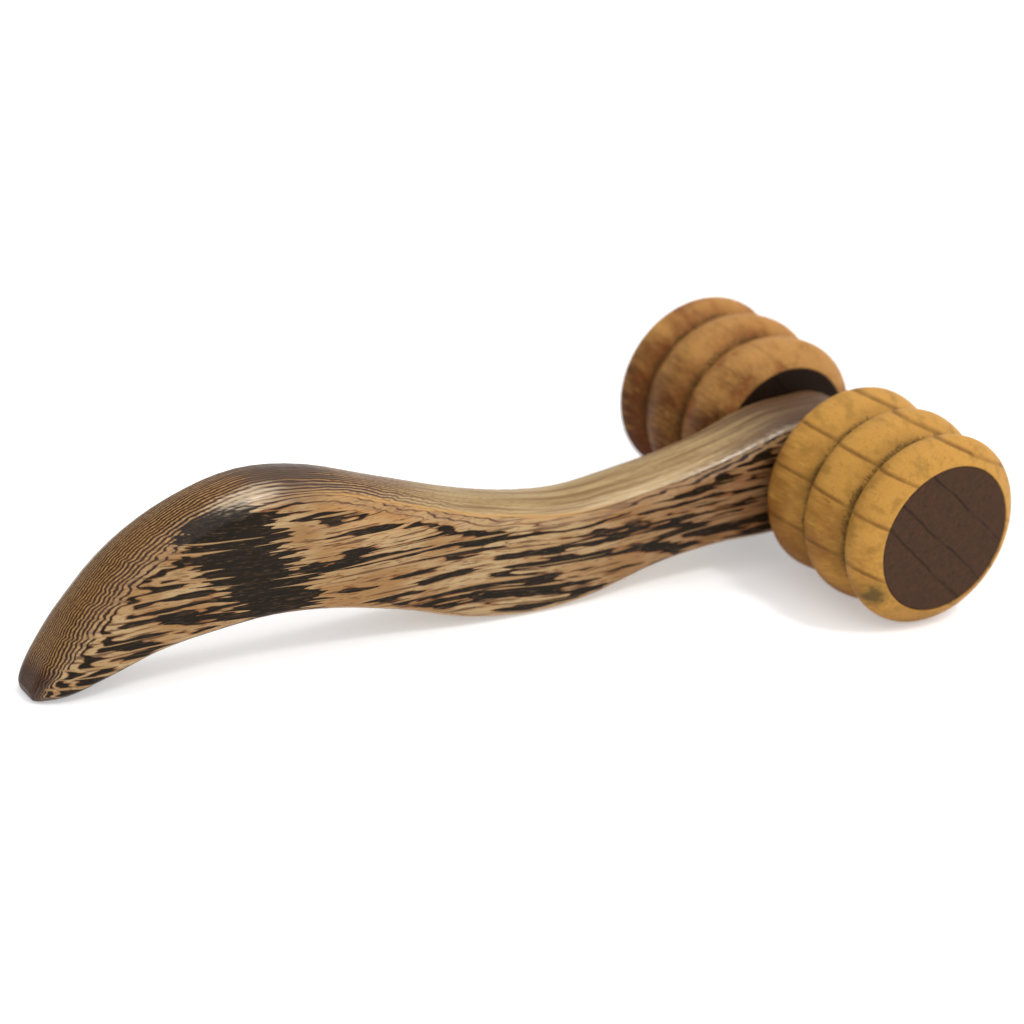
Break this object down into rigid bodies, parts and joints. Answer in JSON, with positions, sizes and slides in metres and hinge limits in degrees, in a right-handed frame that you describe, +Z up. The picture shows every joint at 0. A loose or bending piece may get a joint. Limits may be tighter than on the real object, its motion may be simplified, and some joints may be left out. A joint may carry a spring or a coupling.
{
  "type": "massage roller",
  "caption": "Hand-held wooden massager: a wavy handle of dark-figured wood with beaded wooden rollers that spin on a cross axle.",
  "frame": {"origin": "on the floor, below the middle of the object's length and width", "axes": "+X from the tip of the handle towards the rollers, +Y left along the axle, +Z up"},
  "size_m": [0.193, 0.0872, 0.04],
  "materials": {
    "handle_wood": "satin oiled wood, tan with near-black wavy figure",
    "roller_wood": "satin oiled yellow-brown wood with thin brown growth lines",
    "dark_wood": "matt dark brown wood with darker lines",
    "steel": "turned, bright",
    "brass": "drawn tube, dull",
    "nylon": "matt, off-white"
  },
  "bodies": {
    "handle_assembly": {"handle": "handle_wood", "axle": "steel", "left_thrust_washer": "nylon", "left_retaining_washer": "steel", "left_retaining_screw": "steel", "right_thrust_washer": "nylon", "right_retaining_washer": "steel", "right_retaining_screw": "steel"},
    "left_roller_assembly": {"left_roller": "roller_wood", "left_inner_disc": "dark_wood", "left_end_cap": "dark_wood", "left_sleeve": "brass"},
    "right_roller_assembly": {"right_roller": "roller_wood", "right_inner_disc": "dark_wood", "right_end_cap": "dark_wood", "right_sleeve": "brass"}
  },
  "joints": [
    {"name": "left_roller_spin", "type": "hinge", "parent": "handle_assembly", "child": "left_roller_assembly", "pos_m": [0.0765, 0, 0.02], "axis": [0, 1, 0], "continuous": true},
    {"name": "right_roller_spin", "type": "hinge", "parent": "handle_assembly", "child": "right_roller_assembly", "pos_m": [0.0765, 0, 0.02], "axis": [0, 1, 0], "continuous": true}
  ]
}
